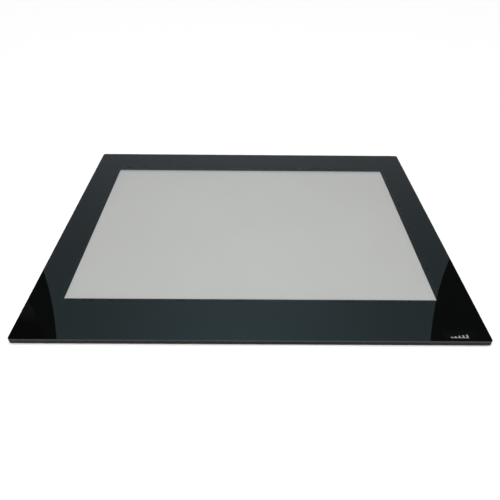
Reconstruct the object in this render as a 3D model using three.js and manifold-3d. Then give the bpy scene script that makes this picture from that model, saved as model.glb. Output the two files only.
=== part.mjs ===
// Edge-lit light box for tracing: a thin glass-topped pad on rubber feet.
// A printed black border frames an opal window. Under it a diffuser, a light guide and a
// reflector are lit from two long edges by lamp bars. A driver board behind the window
// holds the power socket and the power key, and both face out of the rear edge.
//
// Millimetres, +Z up, +Y to the rear. The origin is on the table, under the pad's centre.
import * as THREE from "three";
import { mergeVertices } from "three/addons/utils/BufferGeometryUtils.js";
import Module from "manifold-3d";

const wasm = await Module();
wasm.setup();

// ---------------------------------------------------------------- driving dimensions

// Outline
const windowWidth = 310;
const windowDepth = 210;
const sideBorder = 29;
const frontBorder = 44;
const rearBorder = 37;
const cornerRadius = 2.5;

// Layers, from the table up
const footHeight = 0.4; // from the table to the frame's underside
const coverRecess = 0.05; // the back cover sits this far inside the frame
const coverThickness = 0.4;
const reflectorThickness = 0.12;
const guideThickness = 2;
const diffuserThickness = 0.2;
const printThickness = 0.08;
const glassThickness = 1.4;
const layerGap = 0.05; // air between stacked layers
const bondGap = 0.02; // glue line under what is printed, stuck or soldered on

// Face
const glassBevel = 0.4;
const printInset = 0.3; // the print stops short of the glass edge
const tapeThickness = 0.2;
const tapeWidth = 9;

// Level mark in the front right corner
const markBarCount = 5;
const markPitch = 3.1;
const markBarWidth = 1.3;
const markLowBar = 1.1;
const markHighBar = 3.1;
const markBaseHeight = 0.5;
const markRightMargin = 23.5; // from the pad's edge to the mark's middle
const markFrontMargin = 6.2;
const markClearance = 0.05;

// Side frame
const lipWidth = 1.2;
const frameWidth = 7;
const frameChamfer = 0.3; // along the bottom edge
const frameFitGap = 0.3; // around what drops into the frame
const bayWall = 2.2; // what is left of the frame behind the driver board
const scoopDepth = 0.6;
const scoopWidth = 17;

// Optics
const guideMargin = 4; // of the light guide beyond the window
const sheetMargin = 3; // of the diffuser and the reflector beyond the window
const sheetRadius = 1;
const lampDepth = 0.8;
const lampWidth = 3;
const lampInset = 0.25; // of a lamp below and above its bar's edges
const lampCount = 24;
const lampGap = 0.2; // from a lamp to the guide's edge
const barThickness = 0.6;
const barInset = 0.1; // of a bar below the guide's top face

// Middle frame
const ribWidth = 2.4;
const frontBays = 8; // pockets along the front border
const rearBays = 6; // pockets along the rear border, beside the board's bay
const sideBays = 5; // pockets along each side border
const wireChannel = 3; // beside the light guide
const lampBarGap = 0.3;

// Driver board
const boardWidth = 62;
const boardThickness = 0.6;
const boardFrontMargin = 4.6; // from the lamp bar's pocket to the board
const boardSideMargin = 1.3; // from the wire channel's far wall to the board
const tallHeadroom = 0.11; // from the tallest soldered parts to the glass tape's top
const boardSlack = 0.2; // behind the pressed key's flange
const boardBayGap = 1.5;
const boardTapeThickness = 0.1;
const boardTapeMargin = 4;

// Power socket
const socketEdgeMargin = 15; // from the board's right edge to the socket's middle
const socketWidth = 7.6;
const socketLength = 5.6;
const socketWall = 0.3;
const socketRecess = 0.4; // mouth behind the frame's outer face
const socketFitGap = 0.25;
const socketCornerCut = 0.9;
const socketTabWidth = 1.1;
const socketTabLength = 1.6;
const socketTabThickness = 0.25;
const tongueWidth = 3.8;
const tongueThickness = 0.6;
const tongueLength = 3.6;
const tongueRoot = 0.8;

// Power key and its switch
const keyEdgeMargin = 47; // from the board's right edge to the key's middle
const keyWidth = 9;
const keyHeight = 1.6;
const keyRadius = 0.6;
const keyEdge = 0.2; // rounding of the cap's face
const keyProud = 0.5; // out of the scoop
const keyFlange = 1.6; // at each end, inside the frame's wall
const keyFlangeThickness = 1.2;
const keyClearance = 0.15;
const keyStopGap = 0.05;
const keyTravel = 0.35;
const nubLength = 0.85;
const nubWidth = 2;
const nubHeight = 1;
const switchWidth = 4.7;
const switchDepth = 3.6;
const plungerWidth = 1.8;
const plungerHeight = 0.8;
const plungerProud = 0.75;
const plungerLength = 2.4;
const plungerClearance = 0.1;

// Back screws, countersunk
const screwHeadRadius = 1.5;
const screwShankRadius = 0.8;
const screwHeadHeight = 0.7;
const screwLength = 2;
const screwClearance = 0.06;
const screwCornerInset = 12; // from the pad's corner to the screws beside it
const screwInnerX = 60;
const driveSlotWidth = 0.36;
const driveSlotLength = 1.9;
const driveSlotDepth = 0.4;

// Rubber feet
const footRadius = 6;
const footChamfer = 0.15;
const footInsetX = 19;
const footInsetY = 23;

// Blank rating label
const labelWidth = 52;
const labelDepth = 26;
const labelRadius = 2;
const labelThickness = 0.06;
const labelSideInset = 66; // from the pad's left edge to the label's middle
const labelRearInset = 49;

// Soldered components: width, depth and headroom below the glass tape's top, then how far
// their middle is in from the board's right edge and their front behind its front edge.
const components = {
  boost_inductor: { width: 6, depth: 6, headroom: tallHeadroom, fromRight: 24, fromFront: 3 },
  driver_chip: { width: 5, depth: 4, headroom: 0.31, fromRight: 34, fromFront: 4 },
  input_capacitor: { width: 3.2, depth: 1.6, headroom: 0.41, fromRight: 24, fromFront: 12 },
  output_capacitor: { width: 3.2, depth: 2.5, headroom: 0.21, fromRight: 15, fromFront: 3 },
  rectifier_diode: { width: 4.2, depth: 2.6, headroom: 0.41, fromRight: 15, fromFront: 8 },
};

// Wires
const wireRadius = 0.45;
const wirePitch = 1.1;
const wireSides = 8;
const wireLanding = 6; // run of a front wire on the board
const wireOverlap = 2.4; // run of a wire over the board's front edge

const arcSegments = 8;
const roundSegments = 32;
const scoopSegments = 160;

// ---------------------------------------------------------------- derived places

const padWidth = windowWidth + 2 * sideBorder;
const padDepth = windowDepth + frontBorder + rearBorder;
const windowY = (frontBorder - rearBorder) / 2;
const rearFace = padDepth / 2;

// Heights above the table
const level = {};
level.skirt = footHeight;
level.cover = level.skirt + coverRecess;
level.floor = level.cover + coverThickness;
level.base = level.floor + layerGap; // underside of what stands on the back cover
level.guide = level.base + reflectorThickness + layerGap;
level.diffuser = level.guide + guideThickness + layerGap;
level.print = level.diffuser + diffuserThickness + layerGap;
level.glass = level.print + printThickness + bondGap;
level.lipTop = level.print - layerGap;
level.tape = level.lipTop - tapeThickness;
level.ledge = level.tape - layerGap;

const guideWidth = windowWidth + 2 * guideMargin;
const guideDepth = windowDepth + 2 * guideMargin;
const guideRear = windowY + guideDepth / 2;
const guideFront = windowY - guideDepth / 2;
const barHeight = guideThickness - barInset;
const lampStack = lampGap + lampDepth + barThickness;
const lampSpan = guideWidth - 2 * guideMargin; // of the row of lamps
const pocketRear = guideRear + lampStack + lampBarGap;
const pocketFront = guideFront - lampStack - lampBarGap;
const pocketLeft = -guideWidth / 2 - frameFitGap;
const pocketRight = guideWidth / 2 + frameFitGap + wireChannel;

const keyFront = rearFace - scoopDepth + keyProud;
const keyFlangeFront = rearFace - bayWall - keyStopGap;
const keyFlangeBack = keyFlangeFront - keyFlangeThickness;

const boardRear = keyFlangeBack - keyTravel - boardSlack;
const boardFront = pocketRear + boardFrontMargin;
const boardRight = pocketRight - boardSideMargin;
const boardLeft = boardRight - boardWidth;
const boardZ = level.floor + boardTapeThickness + 2 * bondGap;
const boardTop = boardZ + boardThickness;
const solderZ = boardTop + bondGap; // underside of what is soldered on
const solderRoom = level.lipTop - solderZ; // above it, up to the glass tape's top

const rearWireX = guideWidth / 2 - 2 * wireLanding; // of the first of the two rear wires

const socketX = boardRight - socketEdgeMargin;
const socketHeight = level.print - layerGap - level.base;
const socketMouth = rearFace - socketRecess;

const keyX = boardRight - keyEdgeMargin;
const switchHeight = solderRoom - tallHeadroom;
const plungerZ = solderZ + switchHeight / 2;
const keyZ = level.lipTop - keyClearance - keyHeight / 2;

const screwInset = (lipWidth + frameWidth) / 2;

// ---------------------------------------------------------------- materials

const finish = (color, roughness, metalness = 0) =>
  new THREE.MeshStandardMaterial({ color, roughness, metalness });

const clearGlass = finish(0xdfeceb, 0.03);
clearGlass.transparent = true;
clearGlass.opacity = 0.15;
const blackInk = finish(0x0b0d0d, 0.25);
const greyInk = finish(0x9a9c9c, 0.5);
const blackPlastic = finish(0x121315, 0.45);
const blackCoat = finish(0x1a1b1d, 0.5, 0.3);
const opalFilm = finish(0xbcbebb, 0.55);
const clearAcrylic = finish(0xd9e0de, 0.05);
const whiteFilm = finish(0xe9eae6, 0.4);
const greenResin = finish(0x14532f, 0.4);
const whiteResin = finish(0xe6e5dc, 0.45);
const tinPlate = finish(0xb9bcbf, 0.25, 1);
const blackSteel = finish(0x17181a, 0.35, 1);
const blackResin = finish(0x1b1b1c, 0.55);
const ferrite = finish(0x38393b, 0.6);
const tanCeramic = finish(0x9c7b4f, 0.5);
const rubber = finish(0x151515, 0.9);
const labelFilm = finish(0xb5b8ba, 0.6);
const redSleeve = finish(0xa3201c, 0.5);
const blackSleeve = finish(0x161616, 0.5);
const adhesive = finish(0x202122, 0.8);

// ---------------------------------------------------------------- geometry helpers

// A solid for booleans from a closed geometry.
function solidOf(geometry) {
  const bare = geometry.clone();
  bare.deleteAttribute("normal");
  bare.deleteAttribute("uv");
  const merged = mergeVertices(bare, 1e-4);
  return new wasm.Manifold(
    new wasm.Mesh({
      numProp: 3,
      vertProperties: merged.attributes.position.array,
      triVerts: new Uint32Array(merged.index.array),
    }),
  );
}

function geometryOf(solid) {
  const { vertProperties, triVerts, numProp } = solid.getMesh();
  const count = vertProperties.length / numProp;
  const positions = new Float32Array(count * 3);
  for (let i = 0; i < count; i++) {
    positions.set(vertProperties.subarray(i * numProp, i * numProp + 3), i * 3);
  }
  const geometry = new THREE.BufferGeometry()
    .setAttribute("position", new THREE.BufferAttribute(positions, 3))
    .setIndex(new THREE.BufferAttribute(triVerts, 1));
  geometry.computeVertexNormals();
  return geometry;
}

const cut = (body, ...tools) =>
  geometryOf(tools.reduce((solid, tool) => solid.subtract(solidOf(tool)), solidOf(body)));

const join = (first, ...others) =>
  geometryOf(others.reduce((solid, other) => solid.add(solidOf(other)), solidOf(first)));

// A rectangle with round corners, centred on the origin.
function roundedRectangle(width, depth, radius) {
  const x = width / 2 - radius;
  const y = depth / 2 - radius;
  const shape = new THREE.Shape();
  shape.absarc(x, y, radius, 0, Math.PI / 2);
  shape.absarc(-x, y, radius, Math.PI / 2, Math.PI);
  shape.absarc(-x, -y, radius, Math.PI, 1.5 * Math.PI);
  shape.absarc(x, -y, radius, 1.5 * Math.PI, 2 * Math.PI);
  return shape;
}

// The pad's own outline, drawn in by inset.
function padOutline(inset) {
  const radius = Math.max(cornerRadius - inset, 0.5);
  return roundedRectangle(padWidth - 2 * inset, padDepth - 2 * inset, radius);
}

// A shape raised from z to z + thickness.
function slab(shape, thickness, z = 0) {
  return new THREE.ExtrudeGeometry(shape, {
    depth: thickness,
    bevelEnabled: false,
    curveSegments: arcSegments,
  }).translate(0, 0, z);
}

// A slab with its top and bottom edges cut back by bevel, its underside at z = 0.
function bevelledSlab(shape, thickness, bevel, rounds = 1) {
  return new THREE.ExtrudeGeometry(shape, {
    depth: thickness - 2 * bevel,
    bevelEnabled: true,
    bevelThickness: bevel,
    bevelSize: bevel,
    bevelSegments: rounds,
    curveSegments: arcSegments,
  }).translate(0, 0, bevel);
}

// A box between two opposite corners.
function block(x0, y0, z0, x1, y1, z1) {
  const box = new THREE.BoxGeometry(Math.abs(x1 - x0), Math.abs(y1 - y0), Math.abs(z1 - z0));
  return box.translate((x0 + x1) / 2, (y0 + y1) / 2, (z0 + z1) / 2);
}

// A turned solid about Z from [radius, z] points, lowest first, closed on the axis.
function turned(profile) {
  const points = profile.map(([radius, z]) => new THREE.Vector2(radius, z));
  return new THREE.LatheGeometry(points, roundSegments).rotateX(Math.PI / 2);
}

function part(name, geometry, material, x = 0, y = 0, z = 0) {
  const mesh = new THREE.Mesh(geometry, material);
  mesh.name = name;
  mesh.position.set(x, y, z);
  return mesh;
}

function groupOf(...meshes) {
  const group = new THREE.Group();
  group.add(...meshes);
  return group;
}

// ---------------------------------------------------------------- face

function coverGlass() {
  const geometry = bevelledSlab(padOutline(glassBevel), glassThickness, glassBevel);
  return part("cover_glass", geometry, clearGlass, 0, 0, level.glass);
}

// Rising bars on a base line: a wordless brightness mark, grown all round by margin.
function markBody(margin, thickness) {
  const half = ((markBarCount - 1) * markPitch + markBarWidth) / 2 + margin;
  const low = -markHighBar / 2 - margin;
  const base = low + markBaseHeight + 2 * margin;
  const rise = (markHighBar - markLowBar) / (markBarCount - 1);
  const shape = new THREE.Shape();
  shape.moveTo(-half, low);
  shape.lineTo(half, low);
  for (let i = markBarCount - 1; i >= 0; i--) {
    const left = i * markPitch - half;
    const right = left + markBarWidth + 2 * margin;
    const top = low + markLowBar + i * rise + 2 * margin;
    if (right < half) shape.lineTo(right, base);
    shape.lineTo(right, top);
    shape.lineTo(left, top);
    if (left > -half) shape.lineTo(left, base);
  }
  shape.closePath();
  return slab(shape, thickness);
}

const markX = padWidth / 2 - markRightMargin;
const markY = markFrontMargin - padDepth / 2;

function borderPrint() {
  const outer = slab(padOutline(printInset), printThickness);
  const opening = new THREE.BoxGeometry(windowWidth, windowDepth, 1).translate(0, windowY, 0);
  const knockout = markBody(markClearance, 1).translate(markX, markY, -0.5);
  return part("border_print", cut(outer, opening, knockout), blackInk, 0, 0, level.print);
}

function levelMark() {
  return part("level_mark", markBody(0, printThickness), greyInk, markX, markY, level.print);
}

function glassTape() {
  const inset = lipWidth + frameFitGap;
  const ring = slab(padOutline(inset), tapeThickness);
  const inside = slab(padOutline(inset + tapeWidth), 2, -1);
  const boardGap = block(
    boardLeft - boardBayGap,
    boardFront,
    -1,
    boardRight + boardBayGap,
    rearFace,
    1,
  );
  return part("glass_tape", cut(ring, inside, boardGap), adhesive, 0, 0, level.tape);
}

// ---------------------------------------------------------------- optics

function sheet(name, margin, thickness, material, z) {
  const outline = roundedRectangle(
    windowWidth + 2 * margin,
    windowDepth + 2 * margin,
    sheetRadius,
  );
  return part(name, slab(outline, thickness), material, 0, windowY, z);
}

const reflectorSheet = () =>
  sheet("reflector_sheet", sheetMargin, reflectorThickness, whiteFilm, level.base);

const lightGuide = () =>
  sheet("light_guide", guideMargin, guideThickness, clearAcrylic, level.guide);

const diffuserSheet = () =>
  sheet("diffuser_sheet", sheetMargin, diffuserThickness, opalFilm, level.diffuser);

// A strip along X with its back on y = 0 and its lamps towards facing, 1 or -1 along Y.
// Its right end is longer by tail.
function lampBar(name, y, facing, tail) {
  const half = guideWidth / 2 - lampGap;
  const strip = block(-half, 0, 0, half + tail, facing * barThickness, barHeight);
  const pitch = lampSpan / lampCount;
  const lamps = Array.from({ length: lampCount }, (_, i) => {
    const x = (i + 0.5) * pitch - lampSpan / 2;
    return block(
      x - lampWidth / 2,
      (facing * barThickness) / 2,
      lampInset,
      x + lampWidth / 2,
      facing * (barThickness + lampDepth),
      barHeight - lampInset,
    );
  });
  return part(name, join(strip, ...lamps), whiteResin, 0, y, level.guide);
}

// The front bar's tail reaches into the wire channel, where its wires come down.
const frontLampBar = () =>
  lampBar("front_lamp_bar", guideFront - lampStack, 1, wireChannel);

const rearLampBar = () => lampBar("rear_lamp_bar", guideRear + lampStack, -1, 0);

// ---------------------------------------------------------------- casing

// Where the back screws go: four along each long side, one in the middle of each short side.
const screwEndX = padWidth / 2 - screwCornerInset;
const screwSideX = padWidth / 2 - screwInset;
const screwPlaces = [
  ...[-1, 1].flatMap((side) =>
    [-screwEndX, -screwInnerX, screwInnerX, screwEndX].map((x) => [
      x,
      side * (padDepth / 2 - screwInset),
    ]),
  ),
  [-screwSideX, 0],
  [screwSideX, 0],
];

// The screw's own outline, grown by clearance, from its head's face at z = 0 upwards.
function screwBody(clearance, length) {
  return turned([
    [0, 0],
    [screwHeadRadius + clearance, 0],
    [screwShankRadius + clearance, screwHeadHeight],
    [screwShankRadius + clearance, length],
    [0, length],
  ]);
}

function backScrew(index) {
  const [x, y] = screwPlaces[index];
  const across = new THREE.BoxGeometry(driveSlotLength, driveSlotWidth, 2 * driveSlotDepth);
  const along = new THREE.BoxGeometry(driveSlotWidth, driveSlotLength, 2 * driveSlotDepth);
  const name = `back_screw_${String(index + 1).padStart(2, "0")}`;
  const geometry = cut(screwBody(0, screwLength), across, along);
  return part(name, geometry, blackSteel, x, y, level.cover);
}

// Holes for every back screw, for a piece whose underside is at height z.
function screwHoles(z) {
  return screwPlaces.map(([x, y]) =>
    screwBody(screwClearance, screwLength + layerGap).translate(x, y, level.cover - z),
  );
}

function sideFrame() {
  const height = level.lipTop - level.skirt;
  const raised = bevelledSlab(padOutline(frameChamfer), 2 * height, frameChamfer);
  const above = slab(padOutline(-1), 2 * height, height);
  const middle = slab(padOutline(frameWidth), height + 2, -1);
  const lip = padOutline(lipWidth);
  const coverSeat = slab(lip, level.base - level.skirt + 1, -1);
  const tapeSeat = slab(lip, height, level.ledge - level.skirt);
  const boardBay = block(
    boardLeft - boardBayGap,
    rearFace - frameWidth - 1,
    -1,
    boardRight + boardBayGap,
    rearFace - bayWall,
    height + 1,
  );
  const scoopRadius = (scoopWidth ** 2 / 4 + scoopDepth ** 2) / (2 * scoopDepth);
  const scoop = new THREE.CylinderGeometry(
    scoopRadius,
    scoopRadius,
    2 * height,
    scoopSegments,
  )
    .rotateX(Math.PI / 2)
    .translate(keyX, rearFace - scoopDepth + scoopRadius, height);
  const keySlot = block(
    keyX - keyWidth / 2 - keyClearance,
    rearFace - bayWall - 1,
    keyZ - keyHeight / 2 - keyClearance - level.skirt,
    keyX + keyWidth / 2 + keyClearance,
    rearFace + 1,
    height + 1,
  );
  const socketSlot = block(
    socketX - socketWidth / 2 - socketFitGap,
    rearFace - bayWall - 1,
    level.floor - level.skirt,
    socketX + socketWidth / 2 + socketFitGap,
    rearFace + 1,
    height + 1,
  );
  const holes = screwHoles(level.skirt);
  const geometry = cut(
    raised,
    above,
    middle,
    coverSeat,
    tapeSeat,
    boardBay,
    scoop,
    keySlot,
    socketSlot,
    ...holes,
  );
  return part("side_frame", geometry, blackPlastic, 0, 0, level.skirt);
}

// A grid of pockets over a region, with ribs between them and around them.
function pockets(x0, y0, x1, y1, columns, rows, height) {
  const pitchX = (x1 - x0 - ribWidth) / columns;
  const pitchY = (y1 - y0 - ribWidth) / rows;
  const places = Array.from({ length: columns * rows }, (_, i) => [
    x0 + ribWidth + (i % columns) * pitchX,
    y0 + ribWidth + Math.floor(i / columns) * pitchY,
  ]);
  return places.map(([x, y]) =>
    block(x, y, -1, x + pitchX - ribWidth, y + pitchY - ribWidth, height + 1),
  );
}

function middleFrame() {
  const inset = frameWidth + frameFitGap;
  const right = padWidth / 2 - inset;
  const rear = padDepth / 2 - inset;
  const bayLeft = boardLeft - boardBayGap;
  const height = level.ledge - level.base;
  const top = height + 1;
  const opticsPocket = block(pocketLeft, pocketFront, -1, pocketRight, pocketRear, top);
  const boardBay = block(
    bayLeft,
    pocketRear + ribWidth,
    -1,
    boardRight + boardBayGap,
    rear + 1,
    top,
  );
  const wirePass = block(
    rearWireX - ribWidth,
    pocketRear - 1,
    -1,
    pocketRight,
    pocketRear + ribWidth + 1,
    top,
  );
  const geometry = cut(
    slab(padOutline(inset), height),
    opticsPocket,
    boardBay,
    wirePass,
    ...pockets(-right, -rear, right, pocketFront, frontBays, 1, height),
    ...pockets(-right, pocketRear, bayLeft, rear, rearBays, 1, height),
    ...pockets(-right, pocketFront, pocketLeft, pocketRear, 1, sideBays, height),
    ...pockets(pocketRight, pocketFront, right, pocketRear, 1, sideBays, height),
  );
  return part("middle_frame", geometry, blackPlastic, 0, 0, level.base);
}

function backCover() {
  const body = slab(padOutline(lipWidth + frameFitGap / 2), coverThickness);
  const geometry = cut(body, ...screwHoles(level.cover));
  return part("back_cover", geometry, blackCoat, 0, 0, level.cover);
}

// Two rows of three feet, stuck to the back cover.
function feet() {
  const x = padWidth / 2 - footInsetX;
  const y = padDepth / 2 - footInsetY;
  const height = level.cover - bondGap;
  const geometry = turned([
    [0, 0],
    [footRadius - footChamfer, 0],
    [footRadius, footChamfer],
    [footRadius, height],
    [0, height],
  ]);
  const rows = { front: -y, rear: y };
  const columns = { left: -x, middle: 0, right: x };
  return Object.entries(rows).flatMap(([row, footY]) =>
    Object.entries(columns).map(([column, footX]) =>
      part(`${row}_${column}_foot`, geometry, rubber, footX, footY, 0),
    ),
  );
}

function ratingLabel() {
  const outline = roundedRectangle(labelWidth, labelDepth, labelRadius);
  return part(
    "rating_label",
    slab(outline, labelThickness),
    labelFilm,
    labelSideInset - padWidth / 2,
    padDepth / 2 - labelRearInset,
    level.cover - bondGap - labelThickness,
  );
}

// ---------------------------------------------------------------- electronics

function driverBoard() {
  const body = block(boardLeft, boardFront, 0, boardRight, boardRear, boardThickness);
  const socketNotch = block(
    socketX - socketWidth / 2 - socketFitGap,
    socketMouth - socketLength - socketFitGap,
    -1,
    socketX + socketWidth / 2 + socketFitGap,
    boardRear + 1,
    1,
  );
  return part("driver_board", cut(body, socketNotch), greenResin, 0, 0, boardZ);
}

function boardTape() {
  const geometry = block(
    boardLeft + boardTapeMargin,
    boardFront + boardTapeMargin,
    0,
    socketX - socketWidth / 2 - boardTapeMargin,
    boardRear - boardTapeMargin,
    boardTapeThickness,
  );
  return part("board_tape", geometry, adhesive, 0, 0, level.floor + bondGap);
}

// The socket's outline seen from behind the pad: a slim slot with its lower corners cut off.
function socketOutline(inset) {
  const x = socketWidth / 2 - inset;
  const low = inset;
  const high = socketHeight - inset;
  const shape = new THREE.Shape();
  shape.moveTo(socketCornerCut - x, low);
  shape.lineTo(x - socketCornerCut, low);
  shape.lineTo(x, low + socketCornerCut);
  shape.lineTo(x, high);
  shape.lineTo(-x, high);
  shape.lineTo(-x, low + socketCornerCut);
  shape.closePath();
  return shape;
}

// Drawn with the mouth at z = 0 facing +Z, then turned to face +Y.
function powerSocket() {
  const shell = slab(socketOutline(0), socketLength, -socketLength);
  const hollow = slab(socketOutline(socketWall), socketLength, socketWall - socketLength);
  const tabs = [-1, 1].map((side) =>
    block(
      (side * (socketWidth - socketWall)) / 2,
      solderZ - level.base,
      -socketLength,
      side * (socketWidth / 2 + socketFitGap + socketTabWidth),
      solderZ - level.base + socketTabThickness,
      socketTabLength - socketLength,
    ),
  );
  const geometry = join(cut(shell, hollow), ...tabs).rotateX(Math.PI / 2).rotateZ(Math.PI);
  return part("power_socket", geometry, tinPlate, socketX, socketMouth, level.base);
}

// The contact tongue stands on a root that fills the back of the shell.
function socketTongue() {
  const back = socketWall + layerGap - socketLength;
  const middle = socketHeight / 2;
  const side = socketWidth / 2 - socketWall - layerGap;
  const root = block(
    -side,
    back,
    socketWall + layerGap + socketCornerCut,
    side,
    back + tongueRoot,
    socketHeight - socketWall - layerGap,
  );
  const blade = block(
    -tongueWidth / 2,
    back,
    middle,
    tongueWidth / 2,
    back + tongueLength,
    middle + tongueThickness,
  );
  const geometry = join(root, blade);
  return part("socket_tongue", geometry, blackResin, socketX, socketMouth, level.base);
}

const nubTip = keyFlangeBack - nubLength;

function keySwitch() {
  const body = block(-switchWidth / 2, -switchDepth, 0, switchWidth / 2, 0, switchHeight);
  const halfWidth = plungerWidth / 2 + plungerClearance;
  const halfHeight = plungerHeight / 2 + plungerClearance;
  const boreDepth = plungerLength - plungerProud + keyTravel + plungerClearance;
  const bore = block(
    -halfWidth,
    -boreDepth,
    switchHeight / 2 - halfHeight,
    halfWidth,
    1,
    switchHeight / 2 + halfHeight,
  );
  const y = nubTip - layerGap - plungerProud;
  return part("key_switch", cut(body, bore), blackResin, keyX, y, solderZ);
}

function switchPlunger() {
  const geometry = new THREE.BoxGeometry(plungerWidth, plungerLength, plungerHeight);
  const y = nubTip - layerGap - plungerLength / 2;
  return part("switch_plunger", geometry, whiteResin, keyX, y, plungerZ);
}

// Drawn about the cap's middle, with the flange's front face on y = 0.
function powerKey() {
  const capLength = keyFront - keyFlangeFront;
  const buried = keyFlangeThickness / 2; // of the cap and the nub, inside the flange
  const outline = roundedRectangle(
    keyWidth - 2 * keyEdge,
    keyHeight - 2 * keyEdge,
    keyRadius - keyEdge,
  );
  const cap = bevelledSlab(outline, capLength + buried, keyEdge, 2)
    .rotateX(-Math.PI / 2)
    .translate(0, -buried, 0);
  const flangeHalf = keyWidth / 2 + keyFlange;
  const flange = block(
    -flangeHalf,
    -keyFlangeThickness,
    -keyHeight / 2,
    flangeHalf,
    0,
    keyHeight / 2,
  );
  const nub = new THREE.BoxGeometry(nubWidth, nubLength + buried, nubHeight).translate(
    0,
    -keyFlangeThickness - (nubLength - buried) / 2,
    plungerZ - keyZ,
  );
  const geometry = join(flange, cap, nub);
  return part("power_key", geometry, blackPlastic, keyX, keyFlangeFront, keyZ);
}

function component(name, material) {
  const { width, depth, headroom, fromRight, fromFront } = components[name];
  const height = solderRoom - headroom;
  const geometry = new THREE.BoxGeometry(width, depth, height);
  const y = boardFront + fromFront + depth / 2;
  return part(name, geometry, material, boardRight - fromRight, y, solderZ + height / 2);
}

// A wire along straight runs through flat points, with a round corner piece at each bend.
function wire(name, points, material) {
  const places = points.map(([x, y]) => new THREE.Vector3(x, y, 0));
  const runs = places.slice(1).map((end, i) => {
    const start = places[i];
    const length = start.distanceTo(end);
    const middle = start.clone().lerp(end, 0.5);
    return new THREE.CylinderGeometry(wireRadius, wireRadius, length, wireSides)
      .rotateZ(Math.atan2(end.y - start.y, end.x - start.x) - Math.PI / 2)
      .translate(middle.x, middle.y, 0);
  });
  const bends = places
    .slice(1, -1)
    .map(({ x, y }) =>
      new THREE.SphereGeometry(wireRadius, wireSides, wireSides).translate(x, y, 0),
    );
  const z = boardTop + layerGap + wireRadius;
  return part(name, join(...runs, ...bends), material, 0, 0, z);
}

// Both wires of the front lamp bar run down the channel; rank 0 is the outer one.
function frontWire(name, rank, material) {
  const x = pocketRight - frameFitGap - wireRadius - rank * wirePitch;
  const startY = boardFront + wireOverlap + (1 - rank) * wirePitch;
  const endY = guideFront - lampGap - lampDepth + layerGap;
  const start = [x - wireLanding - (1 - rank) * wirePitch, startY];
  return wire(name, [start, [x, startY], [x, endY]], material);
}

function rearWire(name, rank, material) {
  const x = rearWireX + rank * wirePitch;
  const endY = guideRear + lampStack + layerGap;
  return wire(name, [[x, boardFront + wireOverlap], [x, endY]], material);
}

// ---------------------------------------------------------------- the whole pad

const face = () => groupOf(coverGlass(), borderPrint(), levelMark(), glassTape());

const optics = () =>
  groupOf(reflectorSheet(), lightGuide(), diffuserSheet(), frontLampBar(), rearLampBar());

const casing = () =>
  groupOf(
    sideFrame(),
    middleFrame(),
    backCover(),
    ratingLabel(),
    ...feet(),
    ...screwPlaces.map((_, index) => backScrew(index)),
  );

const electronics = () =>
  groupOf(
    driverBoard(),
    boardTape(),
    powerSocket(),
    socketTongue(),
    keySwitch(),
    switchPlunger(),
    powerKey(),
    component("driver_chip", blackResin),
    component("boost_inductor", ferrite),
    component("input_capacitor", tanCeramic),
    component("output_capacitor", tanCeramic),
    component("rectifier_diode", blackResin),
    frontWire("front_wire_red", 0, redSleeve),
    frontWire("front_wire_black", 1, blackSleeve),
    rearWire("rear_wire_red", 0, redSleeve),
    rearWire("rear_wire_black", 1, blackSleeve),
  );

export default groupOf(face(), optics(), casing(), electronics());
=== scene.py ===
"""Light box: the looks of a thin glass-topped tracing pad, laid out as a Blender add-on."""

import math

import bmesh
import bpy
from mathutils import Matrix, Vector


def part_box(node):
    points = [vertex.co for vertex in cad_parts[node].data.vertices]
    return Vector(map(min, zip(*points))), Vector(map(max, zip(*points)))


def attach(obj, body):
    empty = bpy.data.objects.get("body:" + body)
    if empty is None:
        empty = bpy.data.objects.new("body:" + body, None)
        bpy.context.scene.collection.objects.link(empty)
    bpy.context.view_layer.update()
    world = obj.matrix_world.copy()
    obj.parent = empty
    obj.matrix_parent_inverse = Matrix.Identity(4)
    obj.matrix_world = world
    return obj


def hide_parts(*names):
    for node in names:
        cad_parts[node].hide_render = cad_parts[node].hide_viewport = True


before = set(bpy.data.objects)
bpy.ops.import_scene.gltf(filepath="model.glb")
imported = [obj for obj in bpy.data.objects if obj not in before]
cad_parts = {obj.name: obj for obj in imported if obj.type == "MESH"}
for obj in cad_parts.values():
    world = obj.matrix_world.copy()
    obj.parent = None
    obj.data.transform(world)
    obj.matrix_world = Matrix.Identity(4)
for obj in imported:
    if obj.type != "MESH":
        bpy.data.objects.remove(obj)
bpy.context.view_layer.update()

bl_info = {
    "name": "Light Box",
    "version": (1, 0, 0),
    "blender": (4, 5, 0),
    "location": "3D View > Sidebar > Light Box",
    "description": "Builds the visible pieces and finishes of a tracing light box",
    "category": "Object",
}

MM = 0.001
PAD = "pad"
KEY = "key"

pane_low, pane_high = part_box("cover_glass")
film_low, film_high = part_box("diffuser_sheet")
guide_low, guide_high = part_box("light_guide")


# ---------------------------------------------------------------- sizes and colours


def length(name, description, default):
    """A length property, in metres."""
    return bpy.props.FloatProperty(
        name=name,
        description=description,
        default=default,
        min=0.0,
        precision=5,
        subtype="DISTANCE",
        unit="LENGTH",
    )


def colour(name, description, default):
    """A colour property, in linear values."""
    return bpy.props.FloatVectorProperty(
        name=name,
        description=description,
        default=default,
        min=0.0,
        max=1.0,
        subtype="COLOR",
    )


def factor(name, description, default, high=1.0):
    """A plain number from 0 up to high."""
    return bpy.props.FloatProperty(
        name=name, description=description, default=default, min=0.0, max=high
    )


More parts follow.
